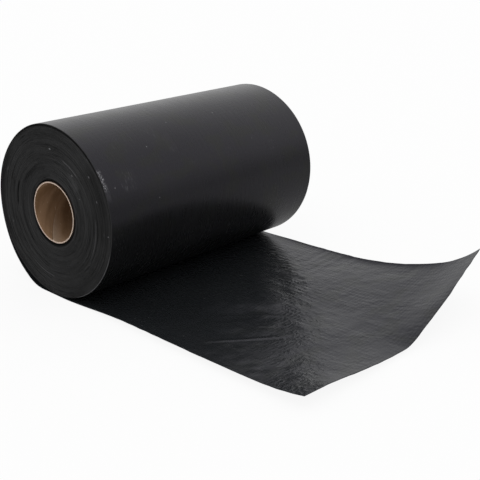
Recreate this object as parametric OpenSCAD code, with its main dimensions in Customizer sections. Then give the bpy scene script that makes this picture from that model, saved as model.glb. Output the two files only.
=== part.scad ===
// Roll of damp proof course: an embossed polythene strip wound on a cardboard tube. Its last turn has
// come loose, passes under the roll and runs out over the floor as a tail whose far corner curls up.
// The roll's axis lies along Y and the tail runs to +X. The origin is on the floor, under the middle
// of the roll's axis.

/* [Sheet] */
// Width of the strip, and so of the roll
sheet_w = 300; // [150:5:600]
// Thickness of the embossed strip, and so the pitch of its turns
sheet_t = 0.7; // [0.5:0.05:1.2]

/* [Core] */
// Bore of the cardboard tube
core_id = 60; // [40:0.5:80]
// Wall of the cardboard tube
core_wall = 2.75; // [1.5:0.25:6]
// Gap between the tube and the first turn
core_clearance = 0.25; // [0.1:0.05:0.6]
// How far each end of the tube lies inside the strip's edge
core_setback = 0.5; // [0:0.25:10]

/* [Wound roll] */
// Outside diameter of the wound roll
roll_od = 177; // [140:1:260]
// Turns that slid sideways together as one band
turns_per_band = 3; // [2:1:8]
// Furthest that a band stands out of one end, and sinks into the other
end_walk = 1.2; // [0:0.1:3]
// Depth of the groove between two bands
groove_depth = 0.6; // [0.2:0.1:1.5]
// Width of the groove between two bands at its mouth
groove_w = 0.6; // [0.2:0.1:1]
// How far the roll's weight presses it into the strip that it lies on
nip_press = 0.15; // [0.05:0.05:0.4]

/* [Loose outer turn] */
// How much wider than the roll the loose turn bends
loose_slack = 8.5; // [2:0.5:20]
// Radius of the tighter bend that lays it on the floor
floor_bend_r = 42; // [15:1:60]

/* [Tail] */
// Length of the tail, from the line that the roll lies on to its cut end
tail_l = 327; // [150:1:600]
// How high the far corner curls up
far_rise = 57; // [0:1:150]
// How late the far edge's curl comes in: 1 climbs evenly, more leaves the start flatter
far_power = 3.8; // [1:0.1:6]
// Place across the strip where the far curl begins
far_from = 5; // [-100:1:120]
// How much the curl draws in towards the far edge before it reaches the cut end
far_narrowing = 0.7; // [0:0.1:2]
// Length of the end stretch in which the curl widens out again
far_widening_l = 70; // [10:1:300]
// How high the near corner curls up from the near edge's ridge
near_rise = 7.6; // [0:0.1:40]
// Length of the near corner's curl
near_curl_l = 68; // [20:1:200]
// Place across the strip where the near curl begins
near_from = -26; // [-120:1:100]
// Height of the long ridge in the near edge
ridge_h = 5.2; // [0:0.1:12]
// Length in which the ridge comes up from the roll
ridge_rise_l = 100; // [20:1:300]
// Place across the strip where the ridge begins, at the roll and at the cut end
ridge_from = [-70, 180];
// How much of the ridge is drawn in to the near edge
ridge_power = 3; // [1:0.1:5]
// Height of the swell that lifts the middle of the cut end
swell_h = 1.7; // [0:0.1:6]
// Distance from the cut end at which the swell is half up
swell_l = 89; // [20:1:200]
// Length in which the swell comes up
swell_rise_l = 50; // [10:1:150]
// Half width of the swell
swell_w = 110; // [30:1:150]

/* [Hidden] */
$fn = 96;

sheet_color = [0.13, 0.13, 0.14];
core_color = [0.74, 0.60, 0.45];

roll_r = roll_od / 2;
core_r = core_id / 2 + core_wall;
wound_bore_r = core_r + core_clearance;
// The roll lies on its own strip, pressed a little way into it
axis_z = sheet_t + roll_r - nip_press;

// The roll's ends: bands of turns, each a whole strip wide and slid sideways by its own amount
band_count = max(3, round((roll_r - wound_bore_r) / (turns_per_band * sheet_t)));
band_h = (roll_r - wound_bore_r) / band_count;
groove_half = min(groove_w, band_h) / 2;
function band_slide(i) = end_walk * (0.6 * sin(47 * i + 20) + 0.4 * sin(113 * i));
// Floor of the groove under band i, or outside the last one. side is 1 at the far end, -1 at the near
function groove_floor(i, side) =
    let (a = band_slide(max(i - 1, 0)), b = band_slide(min(i, band_count - 1)))
    side * (sheet_w / 2 - groove_depth) + (side > 0 ? min(a, b) : max(a, b));
function end_profile(side) = [
    for (i = [0:band_count - 1])
        let (r = wound_bore_r + i * band_h, y = side * sheet_w / 2 + band_slide(i))
        each [[r, groove_floor(i, side)], [r + groove_half, y], [r + band_h - groove_half, y]],
    [roll_r, groove_floor(band_count, side)]
];
function reversed(list) = [for (i = [len(list) - 1:-1:0]) list[i]];

// The loose turn: a wide arc off the back of the roll, then a tighter one down on to the floor.
// It starts under the roll's skin, so that it comes out of the winding and doesn't only touch it.
start_depth = 0.3;
loose_r = roll_r + loose_slack;
loose_angle = asin((axis_z - floor_bend_r) / (loose_r - floor_bend_r));
loose_centre = [loose_r - roll_r + start_depth, axis_z];
bend_centre = loose_centre - (loose_r - floor_bend_r) * [cos(loose_angle), sin(loose_angle)];
arc_step = 3;
function arc(centre, r, from, to) =
    let (steps = ceil((to - from) / arc_step))
    [for (i = [0:steps]) let (a = from + (to - from) * i / steps) centre - r * [cos(a), sin(a)]];
// One face of the strip, at a depth inside its outer face, from the roll to the start of the tail
function loose_face(depth) = concat(
    arc(loose_centre, loose_r - depth, 0, loose_angle),
    arc(bend_centre, floor_bend_r - depth, loose_angle, 90),
    [[tail_start, depth]]
);

// The tail starts where the strip is clear of the roll again
nip_margin = 3;
tail_start = sqrt(2 * roll_r * nip_press) + nip_margin;
tail_steps = 56;
width_steps = 24;
// Width over which a curl starts softly, across the strip
soft_w = 10;
// 0 below t = 0, 1 above t = 1, and a smooth step between
function smooth(t) = let (u = min(max(t, 0), 1)) u * u * (3 - 2 * u);
// Climbs evenly from t = 0, after a soft start
function soft_ramp(t) = (t + sqrt(t * t + soft_w * soft_w)) / 2;
// The far corner's curl, at distance s along the tail and y across the strip
function far_lift(s, y) =
    let (
        across = soft_ramp(y - far_from) / (sheet_w / 2 - far_from),
        narrow = 1 + far_narrowing * smooth((tail_l - s) / far_widening_l)
    )
    far_rise * pow(s / tail_l, far_power) * pow(across, narrow);
// The near corner's curl, which levels off at the edge
function near_lift(s, y) =
    let (
        along = max(0, 1 - (tail_l - s) / near_curl_l),
        across = min(1, soft_ramp(near_from - y) / (near_from + sheet_w / 2))
    )
    near_rise * pow(along, 2) * sin(90 * across);
// The long ridge in the near edge, which spreads over the strip towards the cut end
function ridge(s, y) =
    let (
        from = ridge_from[0] + (ridge_from[1] - ridge_from[0]) * s / tail_l,
        across = max(0, (from - y) / (from + sheet_w / 2))
    )
    ridge_h * smooth((s - tail_start) / ridge_rise_l) * pow(across, ridge_power);
// The swell in the middle of the cut end
function swell(s, y) =
    let (along = 0.5 + (s - tail_l + swell_l) / swell_rise_l, across = min(1, abs(y) / swell_w))
    swell_h * smooth(along) * pow(cos(90 * across), 2);
function lift(s, y) = far_lift(s, y) + near_lift(s, y) + ridge(s, y) + swell(s, y);
// Underside of the tail down one line along the strip: x, z and slope of each point
function tail_line(y) =
    let (step = (tail_l - tail_start) / tail_steps, near_s = 0.5)
    [for (
        i = 0, s = tail_start, x = tail_start;
        i <= tail_steps;
        x = x + sqrt(pow(step, 2) - pow(lift(s + step, y) - lift(s, y), 2)),
        s = s + step,
        i = i + 1
    ) [x, lift(s, y), asin((lift(s + near_s, y) - lift(s - near_s, y)) / (2 * near_s))]];
function tail_points(depth) = [
    for (j = [0:width_steps])
        let (y = sheet_w * (j / width_steps - 0.5))
        for (p = tail_line(y)) [p.x - depth * sin(p.z), y, p.y + depth * cos(p.z)]
];

// Turns of the strip wound tight round the tube, with their edges showing as bands on both ends
module wound_turns() {
    rotate([-90, 0, 0])
        rotate_extrude()
            polygon(concat(end_profile(1), reversed(end_profile(-1))));
}

// The outer turn that has come away at the back and passes under the roll
module loose_turn() {
    rotate([90, 0, 0])
        linear_extrude(height = sheet_w, center = true)
            polygon(concat(loose_face(0), reversed(loose_face(sheet_t))));
}

// The strip on the floor, from clear of the roll to its curled end
module tail() {
    line = tail_steps + 1;
    top = line * (width_steps + 1);
    along = [0:tail_steps - 1];
    across = [0:width_steps - 1];
    last_line = line * width_steps;
    under_side = [for (j = across, i = along) let (a = j * line + i)
        each [[a, a + 1, a + line + 1], [a, a + line + 1, a + line]]];
    upper_side = [for (j = across, i = along) let (a = top + j * line + i)
        each [[a, a + line, a + line + 1], [a, a + line + 1, a + 1]]];
    near_edge = [for (i = along) each wall(i, i + 1, top)];
    far_edge = [for (i = along) each wall(last_line + i + 1, last_line + i, top)];
    start_end = [for (j = across) each wall((j + 1) * line, j * line, top)];
    cut_end = [for (j = across) each wall(j * line + tail_steps, (j + 1) * line + tail_steps, top)];
    polyhedron(
        points = concat(tail_points(0), tail_points(sheet_t)),
        faces = concat(under_side, upper_side, near_edge, far_edge, start_end, cut_end),
        convexity = 6
    );
}
// Two triangles that close the strip's thickness between points a and b of its underside
function wall(a, b, top) = [[a, a + top, b + top], [a, b + top, b]];

module dpc_sheet() {
    color(sheet_color)
        union() {
            translate([0, 0, axis_z]) wound_turns();
            loose_turn();
            tail();
        }
}

// Cardboard tube: plain ends, bored right through
module core_tube() {
    core_l = sheet_w - 2 * core_setback;
    cut = 1;
    color(core_color)
        translate([0, 0, axis_z])
            rotate([90, 0, 0])
                difference() {
                    cylinder(h = core_l, r = core_r, center = true);
                    cylinder(h = core_l + 2 * cut, d = core_id, center = true);
                }
}

dpc_sheet();
core_tube();
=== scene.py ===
"""A roll of embossed polythene damp proof course, wound on a cardboard tube, with its tail run out.

Everything is in metres, in the part's own frame: the roll's axis lies along Y, the tail runs to +X, and
the floor is at z = 0. The roll is one strip. It is built here as three pieces: the turns wound tight on
the tube, the free length of strip that comes off the back of the roll and runs under it over the floor,
and the cardboard tube.
"""

import logging
import math
from dataclasses import dataclass, field
from enum import Enum, IntEnum

import bpy
import numpy as np
from mathutils import Matrix, Vector


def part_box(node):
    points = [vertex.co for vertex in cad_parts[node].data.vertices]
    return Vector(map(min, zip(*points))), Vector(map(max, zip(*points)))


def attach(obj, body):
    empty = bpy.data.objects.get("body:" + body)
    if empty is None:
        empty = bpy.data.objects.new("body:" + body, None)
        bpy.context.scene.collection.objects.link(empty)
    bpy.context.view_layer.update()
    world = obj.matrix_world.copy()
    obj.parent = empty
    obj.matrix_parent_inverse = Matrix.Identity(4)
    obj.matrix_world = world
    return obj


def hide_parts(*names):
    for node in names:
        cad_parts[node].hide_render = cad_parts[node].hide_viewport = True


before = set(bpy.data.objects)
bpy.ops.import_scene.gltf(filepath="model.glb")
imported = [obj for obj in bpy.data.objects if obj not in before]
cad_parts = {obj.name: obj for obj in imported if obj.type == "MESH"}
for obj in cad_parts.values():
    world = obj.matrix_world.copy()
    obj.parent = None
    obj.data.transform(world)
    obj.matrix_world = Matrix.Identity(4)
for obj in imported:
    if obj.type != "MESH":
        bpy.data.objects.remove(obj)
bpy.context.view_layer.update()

MM = 0.001
LOG = logging.getLogger("damp_proof_course")

Socket = bpy.types.NodeSocket
Pair = tuple[float, float]
Triple = tuple[float, float, float]


class Slot(str, Enum):
    """The record's material slots."""

    POLYTHENE = "polythene"
    CARDBOARD = "cardboard"


class RollZone(IntEnum):
    """Which finish a face of the wound roll takes, as its material index."""

    SKIN = 0
    CUT_EDGES = 1


class LoopPart(IntEnum):
    """Where a point of the roll's outline lies. An end's number is also its direction along Y."""

    NEAR_END = -1
    FAR_END = 1
    SKIN = 2
    BORE = 3


# ---------------------------------------------------------------------------------------------------
# Small tools


def smooth_step(x: np.ndarray, low: float, high: float) -> np.ndarray:
    """Climbs smoothly from 0 to 1.

    Args:
        x: Where to read it.
        low: Where it leaves 0.
        high: Where it reaches 1.

    Returns:
        The value at each x.
    """
    t = np.clip((np.asarray(x, float) - low) / (high - low), 0.0, 1.0)
    return t * t * (3.0 - 2.0 * t)


def hump(x: np.ndarray, rise: Pair, fall: Pair) -> np.ndarray:
    """Climbs smoothly from 0 to 1 over one stretch of x, and falls back to 0 over a later one."""
    return smooth_step(x, *rise) * (1.0 - smooth_step(x, *fall))


class Wander:
    """Seeded smooth noise from -1 to 1, on a line or a plane."""

    SIZE = 256

    def __init__(self, seed: int) -> None:
        """Draws the values that the noise passes through.

        Args:
            seed: The same seed gives the same noise.
        """
        self.knots = np.random.default_rng(seed).uniform(-1.0, 1.0, (self.SIZE, self.SIZE))

    def plane(self, x: np.ndarray, y: np.ndarray) -> np.ndarray:
        """Reads the noise on a plane, where it changes over a distance of about 1.

        Args:
            x: First coordinate.
            y: Second coordinate.

        Returns:
            The noise at each point.
        """
        x, y = np.broadcast_arrays(np.asarray(x, float), np.asarray(y, float))
        column, row = np.floor(x).astype(int), np.floor(y).astype(int)
        s, t = smooth_step(x - column, 0.0, 1.0), smooth_step(y - row, 0.0, 1.0)
        a, b = column % self.SIZE, row % self.SIZE
        c, d = (column + 1) % self.SIZE, (row + 1) % self.SIZE
        low = self.knots[b, a] * (1.0 - s) + self.knots[b, c] * s
        high = self.knots[d, a] * (1.0 - s) + self.knots[d, c] * s
        return low * (1.0 - t) + high * t

    def line(self, x: np.ndarray, row: int = 0) -> np.ndarray:
        """Reads the noise on a line. Each row is a line of its own."""
        return self.plane(x, np.full(np.shape(x), float(row)))


@dataclass(frozen=True)
class Unevenness:
    """Random hills and hollows on the strip, of one height, with a length along it and one across it.

    The shift picks the part of the noise that is read, and the skew slants the hills.
    """

    height: float
    lengths: Pair
    shift: Pair
    skew: float = 0.0

    def rise(self, noise: Wander, s: np.ndarray, y: np.ndarray) -> np.ndarray:
        """The hills' height, above or below 0.

        Args:
            noise: The noise that they're read from.
            s: Distance along the strip.
            y: Place across it.

        Returns:
            The height at each point.
        """
        along = s / self.lengths[0] + self.skew * y + self.shift[0]
        return self.height * noise.plane(along, y / self.lengths[1] + self.shift[1])


def deselect_all() -> None:
    """Leaves nothing selected and no object in edit mode."""
    if bpy.context.object is not None and bpy.context.object.mode != "OBJECT":
        bpy.ops.object.mode_set(mode="OBJECT")
    bpy.ops.object.select_all(action="DESELECT")


def make_active(piece: bpy.types.Object) -> None:
    """Makes a piece the only selected object, and the active one."""
    deselect_all()
    piece.select_set(True)
    bpy.context.view_layer.objects.active = piece


def get_points(piece: bpy.types.Object) -> np.ndarray:
    """Reads the places of a piece's vertices, one row each."""
    flat = np.empty(len(piece.data.vertices) * 3)
    piece.data.vertices.foreach_get("co", flat)
    return flat.reshape(-1, 3)


def put_points(piece: bpy.types.Object, points: np.ndarray) -> None:
    """Moves a piece's vertices to the given places."""
    piece.data.vertices.foreach_set("co", np.ascontiguousarray(points, float).ravel())
    piece.data.update()


def get_corners(piece: bpy.types.Object) -> np.ndarray:
    """Reads the vertex number at each corner of a piece's faces, face by face."""
    corners = np.empty(len(piece.data.loops), dtype=np.int32)
    piece.data.loops.foreach_get("vertex_index", corners)
    return corners


def write_uv(piece: bpy.types.Object, name: str, u: np.ndarray, v: np.ndarray) -> None:
    """Gives a piece a UV map with a value for each of its vertices.

    Args:
        piece: The piece.
        name: The map's name.
        u: First coordinate of each vertex.
        v: Second coordinate of each vertex.
    """
    layer = piece.data.uv_layers.new(name=name)
    layer.data.foreach_set("uv", np.column_stack([u, v])[get_corners(piece)].ravel())


def close_and_turn_out(piece: bpy.types.Object, gap: float = 0.002 * MM) -> None:
    """Merges vertices that lie together, fills what is still open, and turns every face outwards.

    Args:
        piece: The piece.
        gap: How near two vertices lie to be one.
    """
    make_active(piece)
    bpy.ops.object.mode_set(mode="EDIT")
    bpy.ops.mesh.select_all(action="SELECT")
    bpy.ops.mesh.remove_doubles(threshold=gap)
    bpy.ops.mesh.fill_holes(sides=0)
    bpy.ops.mesh.select_all(action="SELECT")
    bpy.ops.mesh.normals_make_consistent(inside=False)
    bpy.ops.object.mode_set(mode="OBJECT")


def finish_piece(piece: bpy.types.Object, stands_for: str, crease_angle: float) -> None:
    """Smooths a piece, puts it on the root body and reports it.

    Args:
        piece: The piece.
        stands_for: The CAD node that it stands for.
        crease_angle: Edges bent further than this stay sharp, in degrees.
    """
    make_active(piece)
    bpy.ops.object.shade_smooth_by_angle(angle=math.radians(crease_angle))
    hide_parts(stands_for)
    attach(piece, "root")
    piece.data.calc_loop_triangles()
    LOG.info("%s: %d triangles", piece.name, len(piece.data.loop_triangles))


# ---------------------------------------------------------------------------------------------------
# Finishes


@dataclass(frozen=True)
class Cloud:
    """A cloudy pattern: its cells in a metre along each axis, and the noise at which it comes in."""

    scale: Triple
    edge: Pair
    detail: float = 2.0
    rough: float = 0.5


@dataclass(frozen=True)
class Specks:
    """Small round grains, in a few of a field of random cells.

    The scale is in cells in a metre, and the grain's full core and its reach are shares of a cell.
    A cell's own random value says whether its grain shows: not up to the first value, and in full
    from the second.
    """

    scale: float
    reach: float
    shown: Pair
    core: float = 0.04


class Nodes:
    """Builds a material's nodes, one call each."""

    # A mix node's sockets for colours come after its sockets for numbers and vectors
    MIX_COLOURS = (6, 7)
    MIX_RESULT = 2

    def __init__(self, name: str) -> None:
        """Starts a material with a Principled surface.

        Args:
            name: The material's name.
        """
        self.material = bpy.data.materials.new(name)
        self.material.use_nodes = True
        self.tree = self.material.node_tree
        self.surface = self.tree.nodes["Principled BSDF"]

    @classmethod
    def of_tree(cls, tree: bpy.types.NodeTree) -> "Nodes":
        """Wraps a node tree that is not a material's."""
        nodes = cls.__new__(cls)
        nodes.tree = tree
        return nodes

    def add(self, kind: str, **values: object) -> bpy.types.Node:
        """Adds a node and sets its properties.

        Args:
            kind: Blender's name of the node type.
            **values: Properties of the node.

        Returns:
            The node.
        """
        node = self.tree.nodes.new(kind)
        for key, value in values.items():
            setattr(node, key, value)
        return node

    def plug(self, value: object, socket: Socket) -> None:
        """Links an output to a socket, or sets the socket to a plain value."""
        if isinstance(value, Socket):
            self.tree.links.new(value, socket)
        else:
            socket.default_value = value

    def math(self, operation: str, a: object, b: object = 0.0, clamp: bool = False) -> Socket:
        """Works out one sum of two values.

        Args:
            operation: Blender's name of the sum.
            a: An output or a number.
            b: An output or a number.
            clamp: Whether the result is kept from 0 to 1.

        Returns:
            The result's output.
        """
        node = self.add("ShaderNodeMath", operation=operation, use_clamp=clamp)
        self.plug(a, node.inputs[0])
        self.plug(b, node.inputs[1])
        return node.outputs[0]

    def chain(self, operation: str, first: object, *others: object) -> Socket:
        """Works out one sum of two or more values, from the first to the last."""
        for other in others:
            first = self.math(operation, first, other)
        return first

    def plus(self, *values: object) -> Socket:
        """The sum of two or more values."""
        return self.chain("ADD", *values)

    def times(self, *values: object) -> Socket:
        """The product of two or more values."""
        return self.chain("MULTIPLY", *values)

    def most(self, *values: object) -> Socket:
        """The greatest of two or more values."""
        return self.chain("MAXIMUM", *values)

    def minus(self, a: object, b: object) -> Socket:
        """The first value less the second."""
        return self.math("SUBTRACT", a, b)

    def apart(self, a: object, b: object) -> Socket:
        """How far apart two values are."""
        return self.math("ABSOLUTE", self.minus(a, b))

    def radius(self, x: object, z: object) -> Socket:
        """The distance from an axis, from the two parts of a place across it."""
        return self.math("SQRT", self.plus(self.times(x, x), self.times(z, z)))

    def place(self, uv: str | None = None) -> Socket:
        """Reads where a point is: its UV, or its place in the object if no map is named."""
        if uv is None:
            return self.add("ShaderNodeTexCoord").outputs["Object"]
        return self.add("ShaderNodeUVMap", uv_map=uv).outputs["UV"]

    def split(self, vector: object) -> list[Socket]:
        """Splits a vector into its three parts."""
        node = self.add("ShaderNodeSeparateXYZ")
        self.plug(vector, node.inputs[0])
        return list(node.outputs)

    def joined(self, *parts: object) -> Socket:
        """Joins three parts into a vector."""
        node = self.add("ShaderNodeCombineXYZ")
        for part, socket in zip(parts, node.inputs):
            self.plug(part, socket)
        return node.outputs[0]

    def mapped(self, place: object, step: str, value: Triple) -> Socket:
        """Turns or scales a place.

        Args:
            place: The place's output.
            step: "Rotation" or "Scale".
            value: The turn in radians or the scale, for each axis.

        Returns:
            The result's output.
        """
        node = self.add("ShaderNodeMapping")
        self.plug(place, node.inputs["Vector"])
        node.inputs[step].default_value = value
        return node.outputs[0]

    def noise(
        self, place: object, scale: Triple, detail: float = 2.0, rough: float = 0.5, turn: float = 0.0
    ) -> Socket:
        """Reads Blender's noise, about 0.5 on average.

        Args:
            place: Where to read it.
            scale: Cells in a metre along each axis, after the turn.
            detail: How many finer layers it has.
            rough: How strong the finer layers are.
            turn: Turn of the place about the third axis, in degrees.

        Returns:
            The noise's output.
        """
        if turn:
            place = self.mapped(place, "Rotation", (0.0, 0.0, math.radians(turn)))
        node = self.add("ShaderNodeTexNoise")
        self.plug(self.mapped(place, "Scale", scale), node.inputs["Vector"])
        for name, value in (("Scale", 1.0), ("Detail", detail), ("Roughness", rough)):
            node.inputs[name].default_value = value
        return node.outputs["Fac"]

    def specks(self, place: object, specks: Specks, strength: float = 1.0) -> Socket:
        """Reads a field of specks.

        Args:
            place: Where to read it.
            specks: The field.
            strength: How strong a grain is in its middle.

        Returns:
            How strong a grain is at each place.
        """
        node = self.add("ShaderNodeTexVoronoi")
        self.plug(place, node.inputs["Vector"])
        node.inputs["Scale"].default_value = specks.scale
        chance = self.add("ShaderNodeSeparateColor")
        self.plug(node.outputs["Color"], chance.inputs[0])
        near = self.between(node.outputs["Distance"], specks.core, specks.reach, strength, 0.0)
        return self.times(near, self.between(chance.outputs[0], *specks.shown))

    def between(
        self, value: object, low: float, high: float, first: float = 0.0, last: float = 1.0
    ) -> Socket:
        """Maps a value smoothly from one range to another.

        Args:
            value: The output to map.
            low: Where the range starts.
            high: Where it ends.
            first: The result at low.
            last: The result at high.

        Returns:
            The result's output.
        """
        node = self.add("ShaderNodeMapRange", interpolation_type="SMOOTHSTEP")
        self.plug(value, node.inputs["Value"])
        names = ("From Min", "From Max", "To Min", "To Max")
        for name, number in zip(names, (low, high, first, last)):
            node.inputs[name].default_value = number
        return node.outputs["Result"]

    def cloud(self, place: object, cloud: Cloud, first: float = 0.0, last: float = 1.0) -> Socket:
        """Reads a cloudy pattern.

        Args:
            place: Where to read it.
            cloud: The pattern.
            first: The result where it is bare.
            last: The result where it is full.

        Returns:
            The result's output.
        """
        level = self.noise(place, cloud.scale, cloud.detail, cloud.rough)
        return self.between(level, *cloud.edge, first, last)

    def blend(self, factor: object, first: object, second: object) -> Socket:
        """Mixes two colours.

        Args:
            factor: 0 for the first, 1 for the second.
            first: An output, or a colour as three numbers.
            second: An output, or a colour as three numbers.

        Returns:
            The mixed colour's output.
        """
        node = self.add("ShaderNodeMix", data_type="RGBA")
        self.plug(factor, node.inputs["Factor"])
        for colour, socket in zip((first, second), self.MIX_COLOURS):
            value = (*colour, 1.0) if isinstance(colour, tuple) else colour
            self.plug(value, node.inputs[socket])
        return node.outputs[self.MIX_RESULT]

    def bump(self, height: object, depth: float, normal: object = None) -> Socket:
        """Tilts the surface by a height.

        Args:
            height: The height's output, from 0 to 1.
            depth: How deep 1 is, in metres.
            normal: A normal that is already tilted, if there is one.

        Returns:
            The normal's output.
        """
        node = self.add("ShaderNodeBump")
        self.plug(height, node.inputs["Height"])
        node.inputs["Distance"].default_value = depth
        if normal is not None:
            self.plug(normal, node.inputs["Normal"])
        return node.outputs[0]


@dataclass(frozen=True)
class Scuff:
    """A patch of pale marks on the skin. Its rise is in degrees above +X, seen along the roll's axis."""

    rise: float
    y: float
    half_angle: float
    half_width: float
    strength: float
    stroke: Pair = (150.0, 1100.0)
    cover: Pair = (0.56, 0.66)


@dataclass(frozen=True)
class PolytheneFinish:
    """Black embossed polythene: satin, with a diamond embossing, dust, wrinkles and light scratches."""

    uv: str = "strip"
    colour: Triple = (0.0052, 0.0055, 0.0054)
    haze: Triple = (0.0070, 0.0074, 0.0074)
    hazy: Cloud = Cloud((14.0, 9.0, 1.0), (0.35, 0.7), 3.0)
    gloss_tint: Triple = (0.87, 0.82, 1.0)
    gloss_tint_low: Triple = (0.89, 0.87, 0.90)
    film: Cloud = Cloud((45.0, 30.0, 1.0), (0.38, 0.5))
    dust: Triple = (0.30, 0.30, 0.31)
    specular: float = 0.275
    roughness: float = 0.28
    roughness_spread: float = 0.05
    streaks: Cloud = Cloud((35.0, 260.0, 1.0), (0.2, 0.8))
    diamond_l: float = 13.0 * MM
    diamond_w: float = 8.4 * MM
    emboss_depth: float = 0.02 * MM
    emboss_drift: float = 1.2
    emboss_least: float = 0.15
    press: Cloud = Cloud((38.0, 38.0, 38.0), (0.38, 0.62), 3.0)
    crumple_depth: float = 0.0
    crumple_l: float = 6.0 * MM
    crumple_least: float = 0.3
    crumple_patches: Cloud = Cloud((26.0, 26.0, 1.0), (0.35, 0.65), 1.0)
    grain_depth: float = 0.02 * MM
    calm: float = 1.0
    calm_until: Pair = (0.0, 0.04)
    calm_lean: float = 0.88
    wrinkle_depth: float = 0.0
    wrinkle_l: float = 6.0 * MM
    wrinkle_turn: float = -15.0
    wrinkle_in: Pair = (5.0 * MM, 35.0 * MM)
    wrinkle_out_l: float = 70.0 * MM
    wrinkle_rest: float = 0.3
    wrinkle_least: float = 0.1
    wrinkle_patches: Cloud = Cloud((60.0, 60.0, 1.0), (0.42, 0.58), 1.0)
    scratch_share: float = 0.25
    strokes: Cloud = Cloud((140.0, 1500.0, 1.0), (0.66, 0.74))
    stroke_patches: Cloud = Cloud((21.0, 26.0, 1.0), (0.55, 0.68), 1.0)
    specks: Specks = Specks(150.0, 0.11, (0.90, 1.0))
    speck_share: float = 1.0
    scuff_least: float = 0.03
    mark_roughness: float = 0.35
    axis_z: float = 0.0
    scuffs: tuple[Scuff, ...] = ()

    def emboss(self, n: Nodes, uv: Socket) -> Socket:
        """The height of the diamond embossing, unevenly pressed."""
        along, across, _ = n.split(uv)
        wander = n.noise(uv, (60.0, 60.0, 60.0), detail=1.0)
        drift = n.times(n.minus(wander, 0.5), self.emboss_drift)
        a = n.times(along, 2.0 * math.pi / self.diamond_w)
        b = n.times(across, 2.0 * math.pi / self.diamond_l)
        first = n.math("SINE", n.plus(a, b, drift))
        second = n.math("SINE", n.minus(n.plus(a, drift), b))
        press = n.cloud(uv, self.press, self.emboss_least)
        return n.plus(n.times(first, second, press, 0.5), 0.5)

    def scratches(self, n: Nodes, uv: Socket) -> Socket:
        """Short light strokes along the strip, in patches."""
        return n.times(n.cloud(uv, self.strokes), n.cloud(uv, self.stroke_patches))

    def scuffed(self, n: Nodes, uv: Socket, place: Socket) -> object:
        """The marks of every scuff.

        Args:
            n: The material's nodes.
            uv: The place along and across the strip.
            place: The place in the object.

        Returns:
            How pale each place is.
        """
        x, y, z = n.split(place)
        rise = n.math("ARCTAN2", n.minus(z, self.axis_z), x)
        marks: object = 0.0
        for scuff in self.scuffs:
            reach = math.radians(scuff.half_angle)
            off_angle = n.apart(rise, math.radians(scuff.rise))
            off_y = n.apart(y, scuff.y)
            strokes = n.noise(uv, (*scuff.stroke, 1.0), 3.0, 0.6)
            mark = n.times(
                n.between(off_angle, 0.5 * reach, reach, 1.0, 0.0),
                n.between(off_y, 0.5 * scuff.half_width, scuff.half_width, 1.0, 0.0),
                n.between(strokes, *scuff.cover, self.scuff_least, 1.0),
                scuff.strength,
            )
            marks = n.most(mark, marks)
        return marks

    def slant(self, n: Nodes, uv: Socket) -> Socket:
        """The distance along the strip, read on lines that slant over it."""
        along, across, _ = n.split(uv)
        return n.plus(along, n.times(across, self.calm_lean))

    def crumple(self, n: Nodes, uv: Socket) -> Socket:
        """The height of small dents and wrinkles, in patches."""
        scale = 1.0 / self.crumple_l
        dents = n.noise(uv, (scale, scale, 1.0), 2.0, 0.6)
        return n.times(dents, n.cloud(uv, self.crumple_patches, self.crumple_least))

    def wrinkles(self, n: Nodes, uv: Socket, slant: Socket) -> Socket:
        """The height of thin crisp wrinkles, close together just past the calm stretch.

        Args:
            n: The material's nodes.
            uv: The place along and across the strip.
            slant: The distance along the strip on slanting lines.

        Returns:
            The height, from 0 to 1.
        """
        start, end = self.calm_until
        coming = n.between(slant, start + self.wrinkle_in[0], start + self.wrinkle_in[1])
        going = n.between(slant, end, end + self.wrinkle_out_l, 1.0, self.wrinkle_rest)
        scale = 1.0 / self.wrinkle_l
        flow = n.noise(uv, (scale, 0.55 * scale, 1.0), detail=1.0, turn=self.wrinkle_turn)
        crest = n.between(n.apart(flow, 0.5), 0.0, 0.12, 1.0, 0.0)
        patches = n.cloud(uv, self.wrinkle_patches, self.wrinkle_least)
        return n.times(crest, patches, n.times(coming, going))

    def material(self, name: str) -> bpy.types.Material:
        """Makes the material.

        Args:
            name: The material's name.

        Returns:
            The material.
        """
        n = Nodes(name)
        uv, place = n.place(self.uv), n.place()
        inputs = n.surface.inputs
        inputs["Specular IOR Level"].default_value = self.specular
        inputs["Specular Tint"].default_value = (*self.gloss_tint, 1.0)
        tint = n.blend(n.cloud(uv, self.film), self.gloss_tint_low, self.gloss_tint)
        n.plug(tint, inputs["Specular Tint"])
        colour = n.blend(n.cloud(uv, self.hazy), self.colour, self.haze)
        marks = n.times(self.scratches(n, uv), self.scratch_share)
        marks = n.most(marks, n.specks(place, self.specks, self.speck_share))
        if self.scuffs:
            marks = n.most(marks, self.scuffed(n, uv, place))
        n.plug(n.blend(marks, colour, self.dust), inputs["Base Color"])
        low, high = (self.roughness + sign * self.roughness_spread / 2 for sign in (-1, 1))
        rough = n.cloud(uv, self.streaks, low, high)
        rough = n.math("ADD", rough, n.times(marks, self.mark_roughness), clamp=True)
        n.plug(rough, inputs["Roughness"])
        slant = self.slant(n, uv)
        calm = n.between(slant, *self.calm_until, self.calm, 1.0)
        normal = n.bump(n.times(self.emboss(n, uv), calm), self.emboss_depth)
        normal = n.bump(n.times(self.crumple(n, uv), calm), self.crumple_depth, normal)
        if self.wrinkle_depth:
            normal = n.bump(self.wrinkles(n, uv, slant), self.wrinkle_depth, normal)
        grain = n.noise(uv, (900.0, 700.0, 1.0))
        n.plug(n.bump(grain, self.grain_depth, normal), inputs["Normal"])
        return n.material


@dataclass(frozen=True)
class PaintedEdgeArc:
    """An arc on the roll's near end: painted highlight where it is pale, or painted shade. Its rise is
    in degrees above +X.
    """

    radius: float
    rise: float
    half_angle: float
    half_width: float
    strength: float
    painted_shade: bool = False


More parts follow.
